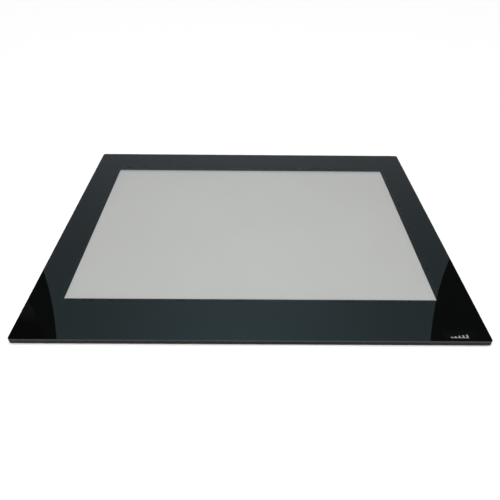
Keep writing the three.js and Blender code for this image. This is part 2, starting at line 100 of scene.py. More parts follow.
class LightBoxFace(bpy.types.PropertyGroup):
    """The glass and what is seen through it."""

    corner: length("Corner", "Radius of the pane's corners", 2.5 * MM)
    arris: length("Arris", "Width of the polished bevel along the pane's edges", 0.4 * MM)
    arris_rounds: bpy.props.IntProperty(
        name="Arris rounds", description="Steps across the bevel", default=4, min=1
    )
    coating: colour("Coating", "Tint of what the glass mirrors from above", (0.585, 0.925, 1.0))
    coating_low: colour("Low coating", "The same, seen from low down", (0.8, 0.9, 1.0))
    edge: colour("Glass edge", "The flat of the pane's edge", (0.014, 0.016, 0.0155))
    bevel: colour("Ground bevel", "The matt arris", (0.036, 0.036, 0.0345))
    ink: colour("Border ink", "The printed border", (0.0027, 0.0028, 0.0027))
    mark: colour("Mark ink", "The level mark", (0.34, 0.35, 0.35))
    film: colour("Opal film", "The diffuser seen in the window", (0.445, 0.434, 0.424))
    # Painted shadow: the colour the film is painted towards beside the rear border, standing in for
    # the shadow the border casts on it, and how far that painted shadow reaches.
    film_painted_shadow: colour("Film painted shadow", "The film beside the rear border", (0.275, 0.318, 0.335))
    painted_shadow_depth: length("Painted shadow depth", "How far the rear shade reaches", 9 * MM)


class LightBoxCasing(bpy.types.PropertyGroup):
    """The frame, the cover and what is fixed to them."""

    plastic: colour("Plastic", "The moulded frame and key", (0.0095, 0.0097, 0.0102))
    coat: colour("Powder coat", "The back cover", (0.018, 0.0185, 0.0195))
    steel: colour("Screws", "Blackened steel", (0.055, 0.056, 0.06))
    rubber: colour("Rubber", "The feet", (0.012, 0.012, 0.0122))
    label: colour("Label", "The blank label's film", (0.46, 0.47, 0.48))
    rounding: length("Rounding", "Softened edges of the mouldings", 0.12 * MM)
    recess: length("Recess", "Length of the screws' cross recess", 1.9 * MM)
    foot_rounding: length("Foot rounding", "Rounded rim of a foot", 0.15 * MM)


class LightBoxInside(bpy.types.PropertyGroup):
    """What lies under the glass."""

    dot_pitch: length("Dot pitch", "Between the dots under the light guide", 5 * MM)
    dot_least: length("Least dot", "Dot radius beside the lamps", 0.35 * MM)
    dot_most: length("Most dot", "Dot radius half way between the lamps", 1.1 * MM)
    lamp_count: bpy.props.IntProperty(
        name="Lamps", description="Lamps on each bar", default=24, min=1
    )
    lamp_width: length("Lamp width", "Along the bar", 3.0 * MM)
    lamp_depth: length("Lamp depth", "Out of the bar", 0.8 * MM)
    lamp_inset: length("Lamp inset", "From the bar's edges to the lamp", 0.25 * MM)
    bar_thickness: length("Bar thickness", "Of the lamp bar's strip", 0.6 * MM)
    phosphor: colour("Phosphor", "The lamps' faces when off", (0.75, 0.5, 0.06))
    contact_count: bpy.props.IntProperty(
        name="Contacts", description="Contacts on the socket's tongue", default=5, min=1
    )


class LightBoxStage(bpy.types.PropertyGroup):
    """The floor, the lamps and the camera."""

    floor: colour("Floor", "The pale floor", (0.97, 0.97, 0.97))
    even_light: factor("Even light", "Strength of the broad overhead light", 2.5, 100.0)
    lamp_power: factor("Lamp power", "Of the softbox over the front, in watts", 0.8, 1000.0)
    card_light: factor("Card light", "Brightness of the mirrored card", 0.957, 10.0)
    card_width: length("Card width", "Of the mirrored card", 1.186)
    card_shift: bpy.props.FloatProperty(
        name="Card shift",
        description="Of the card's middle along X",
        default=-0.013,
        subtype="DISTANCE",
        unit="LENGTH",
    )
    card_distance: length("Card distance", "From the pad's middle to the card", 0.6)
    camera_height: length("Camera height", "Above the glass", 0.26725)
    camera_back: length("Camera back", "In front of the pad's middle", 0.35489)
    camera_side: length("Camera side", "Left of the pad's middle", 0.00281)
    pitch: bpy.props.FloatProperty(
        name="Pitch",
        description="The camera's downward tilt",
        default=math.radians(40.295),
        subtype="ANGLE",
    )
    turn: bpy.props.FloatProperty(
        name="Turn",
        description="The camera's turn to the right",
        default=math.radians(0.395),
        subtype="ANGLE",
    )
    roll: bpy.props.FloatProperty(
        name="Roll",
        description="The camera's roll",
        default=math.radians(0.604),
        subtype="ANGLE",
    )
    lens: bpy.props.FloatProperty(
        name="Lens",
        description="Focal length in millimetres, on a 36 mm sensor",
        default=31.737,
        subtype="DISTANCE_CAMERA",
    )


# ---------------------------------------------------------------- finishes


class Finish:
    """A node material under construction. Patterns read Object coordinates, in metres."""

    def __init__(self, name):
        self.material = bpy.data.materials.new(name)
        self.material.use_nodes = True
        self.tree = self.material.node_tree
        self.tree.nodes.clear()
        self.output = self.add("ShaderNodeOutputMaterial")
        self.place = self.add("ShaderNodeTexCoord").outputs["Object"]

    def add(self, kind, **settings):
        node = self.tree.nodes.new(kind)
        for key, value in settings.items():
            setattr(node, key, value)
        return node

    def feed(self, socket, value):
        """Links an output to an input, or sets the input's own value."""
        if isinstance(value, bpy.types.NodeSocket):
            self.tree.links.new(value, socket)
        elif value is not None:
            socket.default_value = value

    def stretched(self, scale, turn=(0, 0, 0)):
        """Coordinates for a pattern drawn out by a scale and turned."""
        node = self.add("ShaderNodeMapping")
        self.feed(node.inputs["Vector"], self.place)
        node.inputs["Scale"].default_value = scale
        node.inputs["Rotation"].default_value = turn
        return node.outputs["Vector"]

    def noise(self, size, detail=3.0, roughness=0.55, place=None, warp=0.0):
        """Noise with features about size across, in metres."""
        node = self.add("ShaderNodeTexNoise")
        self.feed(node.inputs["Vector"], place or self.place)
        node.inputs["Scale"].default_value = 1.0 / size
        node.inputs["Detail"].default_value = detail
        node.inputs["Roughness"].default_value = roughness
        node.inputs["Distortion"].default_value = warp
        return node.outputs[0]

    def cells(self, size, feature="F1", randomness=1.0):
        """Distances in a field of cells about size across, in metres."""
        node = self.add("ShaderNodeTexVoronoi", feature=feature)
        self.feed(node.inputs["Vector"], self.place)
        node.inputs["Scale"].default_value = 1.0 / size
        node.inputs["Randomness"].default_value = randomness
        return node.outputs["Distance"]

    def mapped(self, value, from_low, from_high, to_low, to_high, kind="LINEAR"):
        """A value moved from one range to another, and held at its ends."""
        node = self.add("ShaderNodeMapRange", interpolation_type=kind)
        self.feed(node.inputs["Value"], value)
        for name, number in (
            ("From Min", from_low),
            ("From Max", from_high),
            ("To Min", to_low),
            ("To Max", to_high),
        ):
            node.inputs[name].default_value = number
        return node.outputs["Result"]

    def maths(self, operation, first, second=None):
        node = self.add("ShaderNodeMath", operation=operation)
        self.feed(node.inputs[0], first)
        self.feed(node.inputs[1], second)
        return node.outputs[0]

    def axis(self, name):
        """The X, Y or Z coordinate, in metres."""
        node = self.add("ShaderNodeSeparateXYZ")
        self.feed(node.inputs[0], self.place)
        return node.outputs[name]

    def mixed(self, share, first, second):
        """A colour between two, each a socket or three numbers."""
        node = self.add("ShaderNodeMix", data_type="RGBA")
        self.feed(node.inputs[0], share)
        for socket, value in ((node.inputs[6], first), (node.inputs[7], second)):
            self.feed(socket, value if isinstance(value, bpy.types.NodeSocket) else (*value, 1))
        return node.outputs[2]

    def bump(self, height, depth, strength=1.0, normal=None):
        """Relief of the given depth, in metres."""
        node = self.add("ShaderNodeBump")
        node.inputs["Strength"].default_value = strength
        node.inputs["Distance"].default_value = depth
        self.feed(node.inputs["Height"], height)
        self.feed(node.inputs["Normal"], normal)
        return node.outputs["Normal"]

    def surface(self, base, roughness, **more):
        """The one shader of an opaque finish. Names in more are its sockets', with _ for spaces."""
        node = self.add("ShaderNodeBsdfPrincipled")
        is_socket = isinstance(base, bpy.types.NodeSocket)
        self.feed(node.inputs["Base Color"], base if is_socket else (*base, 1))
        self.feed(node.inputs["Roughness"], roughness)
        for name, value in more.items():
            self.feed(node.inputs[name.replace("_", " ")], value)
        return self.shown(node.outputs[0])

    def blended(self, share, first, second):
        """A mix of two shaders."""
        node = self.add("ShaderNodeMixShader")
        for socket, value in zip(node.inputs, (share, first, second)):
            self.feed(socket, value)
        return node.outputs[0]

    def mirror_share(self, facing, head_on):
        """How much a clear surface mirrors: head_on face on, and all of it at a grazing angle."""
        return self.mapped(self.maths("POWER", facing, 5.0), 0, 1, head_on, 1.0)

    def shown(self, shader):
        """Ends the material with a shader."""
        self.tree.links.new(shader, self.output.inputs["Surface"])
        return self.material


def shade(colour_value, share):
    """A colour made lighter or darker by a share."""
    return tuple(min(c * share, 1.0) for c in colour_value)


def outside(f, low, high):
    """How far a point lies outside a rectangle, in metres. It is negative within it."""
    middle, half = (low + high) / 2, (high - low) / 2
    along = [
        f.maths("SUBTRACT", f.maths("ABSOLUTE", f.maths("SUBTRACT", f.axis(name), at)), reach)
        for name, at, reach in (("X", middle.x, half.x), ("Y", middle.y, half.y))
    ]
    return f.maths("MAXIMUM", *along)


def clear_glass(tint, low_tint, ink):
    """Clear coated glass: it mirrors by the angle and lets the rest through unbent. Over the
    printed border, where nothing but ink can be seen, the rest is a diffuse black: the ink's colour
    with painted shade for the light the glass holds back. That stops short of the window and of the
    mark, so that neither is cut off when seen aslant."""
    film_margin, mark_margin = 0.5 * MM, 6 * MM
    lit_through_glass = 0.8
    head_on = 0.043
    f = Finish("clear_glass")
    past_film = f.maths("GREATER_THAN", outside(f, film_low, film_high), film_margin)
    past_mark = f.maths("GREATER_THAN", outside(f, *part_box("level_mark")), mark_margin)
    over_ink = f.maths("MULTIPLY", past_film, past_mark)
    shadow = f.add("ShaderNodeLightPath").outputs["Is Shadow Ray"]
    over_ink = f.maths("MULTIPLY", over_ink, f.maths("SUBTRACT", 1.0, shadow))
    black = f.add("ShaderNodeBsdfDiffuse")
    # Painted shade: the ink's colour dimmed by lit_through_glass for the light lost passing through
    # the glass to the ink and out again.
    black.inputs["Color"].default_value = (*shade(ink, lit_through_glass), 1)
    clear = f.add("ShaderNodeBsdfTransparent")
    clear.inputs["Color"].default_value = (0.972, 0.978, 0.974, 1)
    facing = f.add("ShaderNodeLayerWeight").outputs["Facing"]
    wipe = f.noise(60 * MM, 4, 0.6, f.stretched((1, 2.4, 1), (0, 0, 0.5)), 0.6)
    gloss = f.add("ShaderNodeBsdfGlossy", distribution="GGX")
    f.feed(gloss.inputs["Color"], f.mixed(f.mapped(facing, 0.2, 0.56, 0, 1), tint, low_tint))
    f.feed(gloss.inputs["Roughness"], f.mapped(wipe, 0.35, 0.75, 0.006, 0.03))
    under = f.blended(over_ink, clear.outputs[0], black.outputs[0])
    return f.shown(f.blended(f.mirror_share(facing, head_on), under, gloss.outputs[0]))


def bonded_glass():
    """The pane's underside, where glue and film leave nothing to mirror."""
    f = Finish("bonded_glass")
    haze = f.noise(25 * MM, 3)
    clear = f.add("ShaderNodeBsdfTransparent")
    f.feed(clear.inputs["Color"], f.mixed(haze, (0.975, 0.98, 0.977), (0.982, 0.987, 0.984)))
    return f.shown(clear.outputs[0])


def ground_edge(base):
    """The pane's edge: ground along its length, then polished."""
    f = Finish("ground_edge")
    grain = f.noise(0.35 * MM, 3, 0.6, f.stretched((0.05, 0.05, 1)))
    patches = f.noise(9 * MM, 2)
    tone = f.mixed(patches, shade(base, 0.8), shade(base, 1.25))
    rough = f.mapped(grain, 0.3, 0.7, 0.16, 0.34)
    relief = f.bump(grain, 0.012 * MM, 0.5)
    return f.surface(tone, rough, Normal=relief, Specular_IOR_Level=0.3)


def ground_arris(base):
    """The bevel along the pane's edges, left matt by the grinding belt."""
    f = Finish("ground_arris")
    grit = f.noise(0.12 * MM, 3, 0.7)
    nicks = f.noise(1.1 * MM, 4, 0.75)
    tone = f.mixed(f.mapped(grit, 0.3, 0.7, 0, 1), shade(base, 0.75), shade(base, 1.3))
    tone = f.mixed(f.mapped(nicks, 0.64, 0.74, 0, 0.5), tone, shade(base, 2.2))
    return f.surface(tone, 0.48, Normal=f.bump(grit, 0.01 * MM, 0.5), Specular_IOR_Level=0.3)


def border_ink(base):
    """Screen-printed ink behind glass: almost black, with a faint mesh and thin spots."""
    f = Finish("border_ink")
    mottle = f.noise(14 * MM, 4, 0.6)
    mesh = f.noise(0.4 * MM, 1)
    tone = f.mixed(f.mapped(mottle, 0.3, 0.7, 0, 1), shade(base, 0.85), shade(base, 1.2))
    rough = f.mapped(mesh, 0.3, 0.7, 0.42, 0.55)
    return f.surface(tone, rough, Specular_IOR_Level=0.02)


def mark_ink(base):
    """Light ink with the print's fine grain."""
    f = Finish("mark_ink")
    grain = f.noise(0.25 * MM, 2)
    tone = f.mixed(grain, shade(base, 0.86), shade(base, 1.1))
    return f.surface(tone, 0.5, Specular_IOR_Level=0.1)


def opal_film(base, border_shadow_colour, rear_edge, depth):
    """Matt diffusing film: fine tooth, faint clouding, and a painted shadow beside the rear border,
    where the film is painted darker and bluer.
    """
    f = Finish("opal_film")
    cloud = f.noise(70 * MM, 3, 0.5)
    tooth = f.noise(0.5 * MM, 2, 0.6)
    smudge = f.noise(11 * MM, 3, 0.7, f.stretched((1, 1.7, 1), (0, 0, 0.3)))
    tone = f.mixed(f.mapped(cloud, 0.3, 0.7, 0, 1), shade(base, 0.985), shade(base, 1.015))
    faint = f.mapped(smudge, 0.62, 0.8, 0.0, 0.05)
    tone = f.mixed(faint, tone, shade(base, 0.82))
    grain = f.mapped(tooth, 0.3, 0.7, 0.0, 0.05)
    tone = f.mixed(grain, tone, shade(base, 0.9))
    # Painted shadow of the rear border: the film turns darker and bluer towards it over depth.
    near = f.mapped(f.axis("Y"), rear_edge - depth, rear_edge, 0.0, 1.0, "SMOOTHSTEP")
    tone = f.mixed(f.maths("POWER", near, 2.2), tone, border_shadow_colour)
    relief = f.bump(tooth, 0.01 * MM, 0.6)
    return f.surface(tone, f.mapped(tooth, 0.3, 0.7, 0.5, 0.62), Normal=relief)


def moulded_plastic(name, base):
    """Spark-textured black moulding: fine even grain, softer and paler where it is handled."""
    f = Finish(name)
    grain = f.noise(0.16 * MM, 3, 0.7)
    pits = f.cells(0.3 * MM)
    wear = f.noise(22 * MM, 4, 0.65)
    tone = f.mixed(f.mapped(wear, 0.35, 0.75, 0, 1), base, shade(base, 1.55))
    tone = f.mixed(f.mapped(grain, 0.45, 0.75, 0, 0.7), tone, shade(base, 2.6))
    rough = f.mapped(wear, 0.3, 0.75, 0.56, 0.46)
    relief = f.bump(grain, 0.03 * MM, 0.7, f.bump(pits, 0.03 * MM, 0.5))
    return f.surface(tone, rough, Normal=relief, Specular_IOR_Level=0.12)


def powder_coat(base):
    """Fine powder coat on sheet metal: orange peel, small pale dots painted into the colour as
    sparkle highlights, and light rub marks.
    """
    f = Finish("powder_coat")
    peel = f.noise(0.9 * MM, 2, 0.5)
    grit = f.noise(0.2 * MM, 2, 0.7)
    painted_glint = f.cells(0.8 * MM)
    rubs = f.noise(34 * MM, 6, 0.7, f.stretched((1, 0.16, 1), (0, 0, 0.7)), 0.4)
    tone = f.mixed(f.mapped(grit, 0.4, 0.75, 0, 1), shade(base, 0.8), shade(base, 1.7))
    tone = f.mixed(f.mapped(rubs, 0.6, 0.8, 0, 0.35), tone, shade(base, 2.4))
    # Painted highlights: pale dots at the cells' middles, five times the coat's colour, stand in
    # for sparkle.
    tone = f.mixed(f.mapped(painted_glint, 0.0, 0.09, 0.5, 0.0), tone, shade(base, 5.0))
    rough = f.mapped(rubs, 0.4, 0.75, 0.52, 0.4)
    relief = f.bump(peel, 0.03 * MM, 0.6, f.bump(grit, 0.015 * MM, 0.5))
    return f.surface(tone, rough, Normal=relief, Specular_IOR_Level=0.45)


def blackened_steel(base):
    """Oxide-black screws, with bright rub marks from the driver."""
    f = Finish("blackened_steel")
    scuff = f.noise(0.5 * MM, 4, 0.7)
    grain = f.noise(0.08 * MM, 2)
    tone = f.mixed(f.mapped(scuff, 0.55, 0.75, 0, 1), base, shade(base, 4.5))
    relief = f.bump(grain, 0.006 * MM, 0.5)
    return f.surface(tone, f.mapped(scuff, 0.3, 0.7, 0.42, 0.27), Metallic=1.0, Normal=relief)


def rubber(base):
    """Moulded rubber: dull, with fine grain and a little lint."""
    f = Finish("rubber")
    grain = f.noise(0.12 * MM, 3, 0.7)
    bloom = f.noise(4 * MM, 3)
    lint = f.noise(0.35 * MM, 4, 0.8, f.stretched((1, 0.2, 1), (0, 0, 0.9)))
    tone = f.mixed(bloom, base, shade(base, 1.9))
    tone = f.mixed(f.mapped(lint, 0.72, 0.85, 0, 0.4), tone, (0.16, 0.155, 0.15))
    return f.surface(
        tone,
        f.mapped(bloom, 0.3, 0.7, 0.88, 0.72),
        Normal=f.bump(grain, 0.02 * MM, 0.6),
        Specular_IOR_Level=0.35,
    )


def label_film(base, low, high):
    """Satin label: a printed keyline and rows of blank rules."""
    f = Finish("label_film")
    x, y = f.axis("X"), f.axis("Y")
    grain = f.noise(0.3 * MM, 2)
    border, line, row, rule_height = 1.6 * MM, 0.25 * MM, 4 * MM, 0.3 * MM
    rule_inset = 2.6 * border

    def band(value, start, end):
        inside = f.maths("GREATER_THAN", value, start)
        return f.maths("MULTIPLY", inside, f.maths("LESS_THAN", value, end))

    def frame_of(inset):
        across = band(x, low.x + inset, high.x - inset)
        return f.maths("MULTIPLY", across, band(y, low.y + inset, high.y - inset))

    keyline = f.maths("SUBTRACT", frame_of(border), frame_of(border + line))
    rises = f.maths("MODULO", f.maths("SUBTRACT", y, low.y + border), row)
    rule = f.maths("MULTIPLY", f.maths("LESS_THAN", rises, rule_height), frame_of(rule_inset))
    ink = f.maths("MAXIMUM", keyline, rule)
    tone = f.mixed(grain, shade(base, 0.93), shade(base, 1.05))
    tone = f.mixed(ink, tone, (0.03, 0.031, 0.033))
    return f.surface(tone, 0.42, Normal=f.bump(grain, 0.008 * MM, 0.4))


def tin_plate():
    """Bright plated sheet with drawing marks along its length."""
    f = Finish("tin_plate")
    marks = f.noise(0.12 * MM, 4, 0.7, f.stretched((1, 0.08, 1)))
    stain = f.noise(2 * MM, 3)
    tone = f.mixed(stain, (0.55, 0.56, 0.57), (0.68, 0.69, 0.69))
    rough = f.mapped(marks, 0.3, 0.7, 0.2, 0.36)
    return f.surface(tone, rough, Metallic=1.0, Normal=f.bump(marks, 0.006 * MM, 0.5))


def gold_plate():
    """Thin gold on the contacts, with fine marks along them."""
    f = Finish("gold_plate")
    marks = f.noise(0.1 * MM, 3, 0.6, f.stretched((1, 0.1, 1)))
    tone = f.mixed(marks, (0.72, 0.46, 0.13), (0.85, 0.6, 0.24))
    return f.surface(tone, f.mapped(marks, 0.3, 0.7, 0.18, 0.32), Metallic=1.0)


def satin(name, base, roughness, size, depth=0.008 * MM, spread=0.12, **more):
    """A plain moulded, cast or lacquered finish with grain of the given size."""
    f = Finish(name)
    grain = f.noise(size, 3, 0.6)
    cloud = f.noise(12 * size, 3)
    tone = f.mixed(cloud, shade(base, 1 - spread), shade(base, 1 + spread))
    rough = f.mapped(grain, 0.3, 0.7, roughness - 0.06, roughness + 0.06)
    return f.surface(tone, rough, Normal=f.bump(grain, depth, 0.5), **more)


def circuit_board(base):
    """Green solder resist over copper tracks, with a few bare pads."""
    f = Finish("circuit_board")
    tracks = f.cells(2.2 * MM, "DISTANCE_TO_EDGE", randomness=0.55)
    track = f.mapped(tracks, 0.07, 0.1, 1.0, 0.0)
    weave = f.noise(0.4 * MM, 2)
    tone = f.mixed(weave, shade(base, 0.85), shade(base, 1.1))
    tone = f.mixed(f.maths("MULTIPLY", track, 0.6), tone, (0.06, 0.24, 0.09))
    relief = f.bump(track, 0.03 * MM, 0.7)
    return f.surface(tone, f.mapped(weave, 0.3, 0.7, 0.26, 0.38), Normal=relief)


def clear_acrylic():
    """The light guide: water-clear, with a faint haze."""
    f = Finish("clear_acrylic")
    haze = f.noise(30 * MM, 2)
    facing = f.add("ShaderNodeLayerWeight").outputs["Facing"]
    clear = f.add("ShaderNodeBsdfTransparent")
    f.feed(clear.inputs["Color"], f.mixed(haze, (0.93, 0.95, 0.945), (0.95, 0.965, 0.96)))
    gloss = f.add("ShaderNodeBsdfGlossy")
    f.feed(gloss.inputs["Roughness"], f.mapped(haze, 0.3, 0.7, 0.03, 0.06))
    head_on = 0.05
    share = f.mirror_share(facing, head_on)
    return f.shown(f.blended(share, clear.outputs[0], gloss.outputs[0]))


def pale_floor(base):
    """Matt studio floor with a barely visible cloud."""
    f = Finish("pale_floor")
    cloud = f.noise(0.4, 2)
    return f.surface(f.mixed(cloud, shade(base, 0.995), base), 0.75, Specular_IOR_Level=0.0)


# ---------------------------------------------------------------- mesh helpers


def link(name, mesh):
    """A new object in the scene that shows a mesh."""
    made = bpy.data.objects.new(name, mesh)
    bpy.context.scene.collection.objects.link(made)
    return made


def from_bmesh(name, bm):
    """A new object with the shape in bm, which is freed."""
    mesh = bpy.data.meshes.new(name)
    bm.to_mesh(mesh)
    bm.free()
    return link(name, mesh)


def baked(source, name):
    """The evaluated object as a plain mesh object; the source is removed."""
    bpy.context.view_layer.update()
    evaluated = source.evaluated_get(bpy.context.evaluated_depsgraph_get())
    mesh = bpy.data.meshes.new_from_object(evaluated)
    bpy.data.objects.remove(source)
    mesh.name = name
    return link(name, mesh)


def smooth(piece, flat_above=1 * MM * MM, sharp=math.radians(40)):
    """Smooth shading, with creases at sharp angles and large faces kept flat."""
    mesh = piece.data
    mesh.shade_smooth()
    mesh.set_sharp_from_angle(angle=sharp)
    for face in mesh.polygons:
        if face.area > flat_above:
            face.use_smooth = False
    return piece


def settle(piece, materials, body=PAD, replaced=()):
    """Gives a finished piece its materials and body, and hides the CAD nodes it stands for."""
    if materials:
        mesh = piece.data
        kept = [face.material_index for face in mesh.polygons]
        mesh.materials.clear()
        for made in materials:
            mesh.materials.append(made)
        mesh.polygons.foreach_set("material_index", kept)
    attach(piece, body)
    if replaced:
        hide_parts(*replaced)
    return piece


def paint(node, made):
    """A carried-over CAD node takes a finish."""
    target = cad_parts[node]
    if not target.data.materials:
        target.data.materials.append(made)
    for holder in target.material_slots:
        holder.material = made


def rounded_loop(low, high, inset, radius, steps):
    """Points around a box's outline, drawn in by inset, with round corners."""
    radius = max(radius - inset, 0.1 * MM)
    x0, x1 = low.x + inset + radius, high.x - inset - radius
    y0, y1 = low.y + inset + radius, high.y - inset - radius
    corners = ((x1, y1, 0), (x0, y1, 90), (x0, y0, 180), (x1, y0, 270))
    return [
        (
            x + radius * math.cos(math.radians(start + 90 * i / steps)),
            y + radius * math.sin(math.radians(start + 90 * i / steps)),
        )
        for x, y, start in corners
        for i in range(steps + 1)
    ]


def stacked(name, low, high, radius, sections, steps=10, banded=False):
    """A closed body from (inset, height) sections, lowest first. A banded one takes its second
    finish on its sides and its third on its underside."""
    side, underside = (1, 2) if banded else (0, 0)
    bm = bmesh.new()
    loops = [
        [bm.verts.new((x, y, z)) for x, y in rounded_loop(low, high, inset, radius, steps)]
        for inset, z in sections
    ]
    for lower, upper in zip(loops, loops[1:]):
        for i in range(len(lower)):
            j = (i + 1) % len(lower)
            bm.faces.new((lower[i], lower[j], upper[j], upper[i])).material_index = side
    bm.faces.new(loops[-1])
    bm.faces.new(list(reversed(loops[0]))).material_index = underside
    return from_bmesh(name, bm)


def middles(boxes):
    """The middle of each box's underside."""
    return [((low.x + high.x) / 2, (low.y + high.y) / 2, low.z) for low, high in boxes]


def lathed(name, profile, steps=64):
    """A closed body turned about Z from (radius, height) points that start and end at radius 0."""
    bm = bmesh.new()
    rings = []
    for radius, z in profile:
        if radius == 0:
            rings.append([bm.verts.new((0, 0, z))])
            continue
        turns = (2 * math.pi * i / steps for i in range(steps))
        rings.append([bm.verts.new((radius * math.cos(a), radius * math.sin(a), z)) for a in turns])
    for lower, upper in zip(rings, rings[1:]):
        for i in range(steps):
            j = (i + 1) % steps
            corners = [lower[i % len(lower)], lower[j % len(lower)]]
            corners += [upper[j % len(upper)], upper[i % len(upper)]]
            bm.faces.new(list(dict.fromkeys(corners)))
    return from_bmesh(name, bm)


def softened(node, name, width, rounds=2, angle=35):
    """A copy of a CAD node with its edges rounded, as a moulding or a pressing has them."""
    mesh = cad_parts[node].data.copy()
    bm = bmesh.new()
    bm.from_mesh(mesh)
    same_place, flat = 0.0005 * MM, math.radians(0.5)
    bmesh.ops.remove_doubles(bm, verts=bm.verts, dist=same_place)
    bmesh.ops.dissolve_limit(bm, angle_limit=flat, verts=bm.verts, edges=bm.edges)
    bm.to_mesh(mesh)
    bm.free()
    source = link(name + "_source", mesh)
    bevel = source.modifiers.new("Rounding", "BEVEL")
    bevel.width = width
    bevel.segments = rounds
    bevel.limit_method = "ANGLE"
    bevel.angle_limit = math.radians(angle)
    bevel.use_clamp_overlap = True
    source.modifiers.new("Triangles", "TRIANGULATE")
    return smooth(baked(source, name), flat_above=0.3 * MM * MM)


# ---------------------------------------------------------------- geometry node trees


class Tree:
    """A geometry node tree under construction, with named inputs."""

    def __init__(self, name):
        self.tree = bpy.data.node_groups.new(name, "GeometryNodeTree")
        self.ways = {}
        self.socket("Geometry", "NodeSocketGeometry")
        self.tree.interface.new_socket(
            "Geometry", in_out="OUTPUT", socket_type="NodeSocketGeometry"
        )
        self.start = self.tree.nodes.new("NodeGroupInput")
        self.end = self.tree.nodes.new("NodeGroupOutput")

    def socket(self, name, kind, default=None):
        """A named input."""
        made = self.tree.interface.new_socket(name, in_out="INPUT", socket_type=kind)
        if default is not None:
            made.default_value = default
        self.ways[name] = made.identifier

    def value(self, name):
        """What a named input holds, inside the tree."""
        return self.start.outputs[name]

    def add(self, kind, inputs=None, **settings):
        node = self.tree.nodes.new(kind)
        for key, value in settings.items():
            setattr(node, key, value)
        for key, value in (inputs or {}).items():
            self.feed(node.inputs[key], value)
        return node

    def feed(self, socket, value):
        if isinstance(value, bpy.types.NodeSocket):
            self.tree.links.new(value, socket)
        else:
            socket.default_value = value

    def finish(self, instances, made):
        """Ends the tree: the copies become one real mesh with a material."""
        real = self.add("GeometryNodeRealizeInstances", {"Geometry": instances})
        coat = self.add("GeometryNodeSetMaterial", {"Geometry": real.outputs[0]})
        self.feed(coat.inputs["Material"], made)
        self.tree.links.new(coat.outputs[0], self.end.inputs[0])
        return self

    def run(self, name, places, **inputs):
        """Runs the tree on a mesh of bare points and returns the plain result."""
        mesh = bpy.data.meshes.new(name + "_places")
        mesh.from_pydata([tuple(p) for p in places], [], [])
        source = link(name + "_places", mesh)
        modifier = source.modifiers.new(name, "NODES")
        modifier.node_group = self.tree
        for key, value in inputs.items():
            modifier[self.ways[key]] = value
        return baked(source, name)


def set_out_tree():
    """A piece set out on points, each copy turned about its own upright axis."""
    tree = Tree("Set Out")
    tree.socket("Piece", "NodeSocketObject")
    tree.socket("Most turn", "NodeSocketFloat", 0.0)
    tree.socket("Seed", "NodeSocketInt", 1)
    tree.socket("Finish", "NodeSocketMaterial")
    info = tree.add("GeometryNodeObjectInfo", {"Object": tree.value("Piece")})
    turn = tree.add(
        "FunctionNodeRandomValue",
        {3: tree.value("Most turn"), "Seed": tree.value("Seed")},
        data_type="FLOAT",
    )
    upright = tree.add("ShaderNodeCombineXYZ", {"Z": turn.outputs[1]})
    set_out = tree.add(
        "GeometryNodeInstanceOnPoints",
        {
            "Points": tree.value("Geometry"),
            "Instance": info.outputs["Geometry"],
            "Rotation": upright.outputs[0],
        },
    )
    return tree.finish(set_out.outputs[0], tree.value("Finish"))


def block_row_tree():
    """Equal blocks set out on points."""
    tree = Tree("Block Row")
    tree.socket("Size", "NodeSocketVector")
    tree.socket("Finish", "NodeSocketMaterial")
    cube = tree.add("GeometryNodeMeshCube", {"Size": tree.value("Size")})
    set_out = tree.add(
        "GeometryNodeInstanceOnPoints",
        {"Points": tree.value("Geometry"), "Instance": cube.outputs["Mesh"]},
    )
    return tree.finish(set_out.outputs[0], tree.value("Finish"))


def dot_field_tree():
    """Flat dots on points, growing from the lamps' two edges to the line half way between."""
    tree = Tree("Dot Field")
    tree.socket("Least radius", "NodeSocketFloat", 0.35 * MM)
    tree.socket("Most radius", "NodeSocketFloat", 1.1 * MM)
    tree.socket("Thickness", "NodeSocketFloat", 0.01 * MM)
    tree.socket("Middle", "NodeSocketFloat", 0.0)
    tree.socket("Half depth", "NodeSocketFloat", 0.1)
    tree.socket("Finish", "NodeSocketMaterial")
    dot = tree.add(
        "GeometryNodeMeshCylinder",
        {"Vertices": 8, "Radius": 1.0, "Depth": tree.value("Thickness")},
    )
    place = tree.add("GeometryNodeInputPosition")
    apart = tree.add("ShaderNodeSeparateXYZ", {0: place.outputs[0]})
    away = tree.add(
        "ShaderNodeMath", {0: apart.outputs["Y"], 1: tree.value("Middle")}, operation="SUBTRACT"
    )
    distance = tree.add("ShaderNodeMath", {0: away.outputs[0]}, operation="ABSOLUTE")
    radius = tree.add(
        "ShaderNodeMapRange",
        {
            "Value": distance.outputs[0],
            "From Max": tree.value("Half depth"),
            "To Min": tree.value("Most radius"),
            "To Max": tree.value("Least radius"),
        },
    )
    flat = tree.add(
        "ShaderNodeCombineXYZ", {"X": radius.outputs[0], "Y": radius.outputs[0], "Z": 1.0}
    )
    set_out = tree.add(
        "GeometryNodeInstanceOnPoints",
        {
            "Points": tree.value("Geometry"),
            "Instance": dot.outputs["Mesh"],
            "Scale": flat.outputs[0],
        },
    )
    return tree.finish(set_out.outputs[0], tree.value("Finish"))


# ---------------------------------------------------------------- operators


class PieceOperator(bpy.types.Operator):
    """What every piece's operator shares: it builds, and an error stops the script."""

    bl_options = {"REGISTER", "UNDO"}

    def execute(self, context):
        self.build(context.scene)
        return {"FINISHED"}


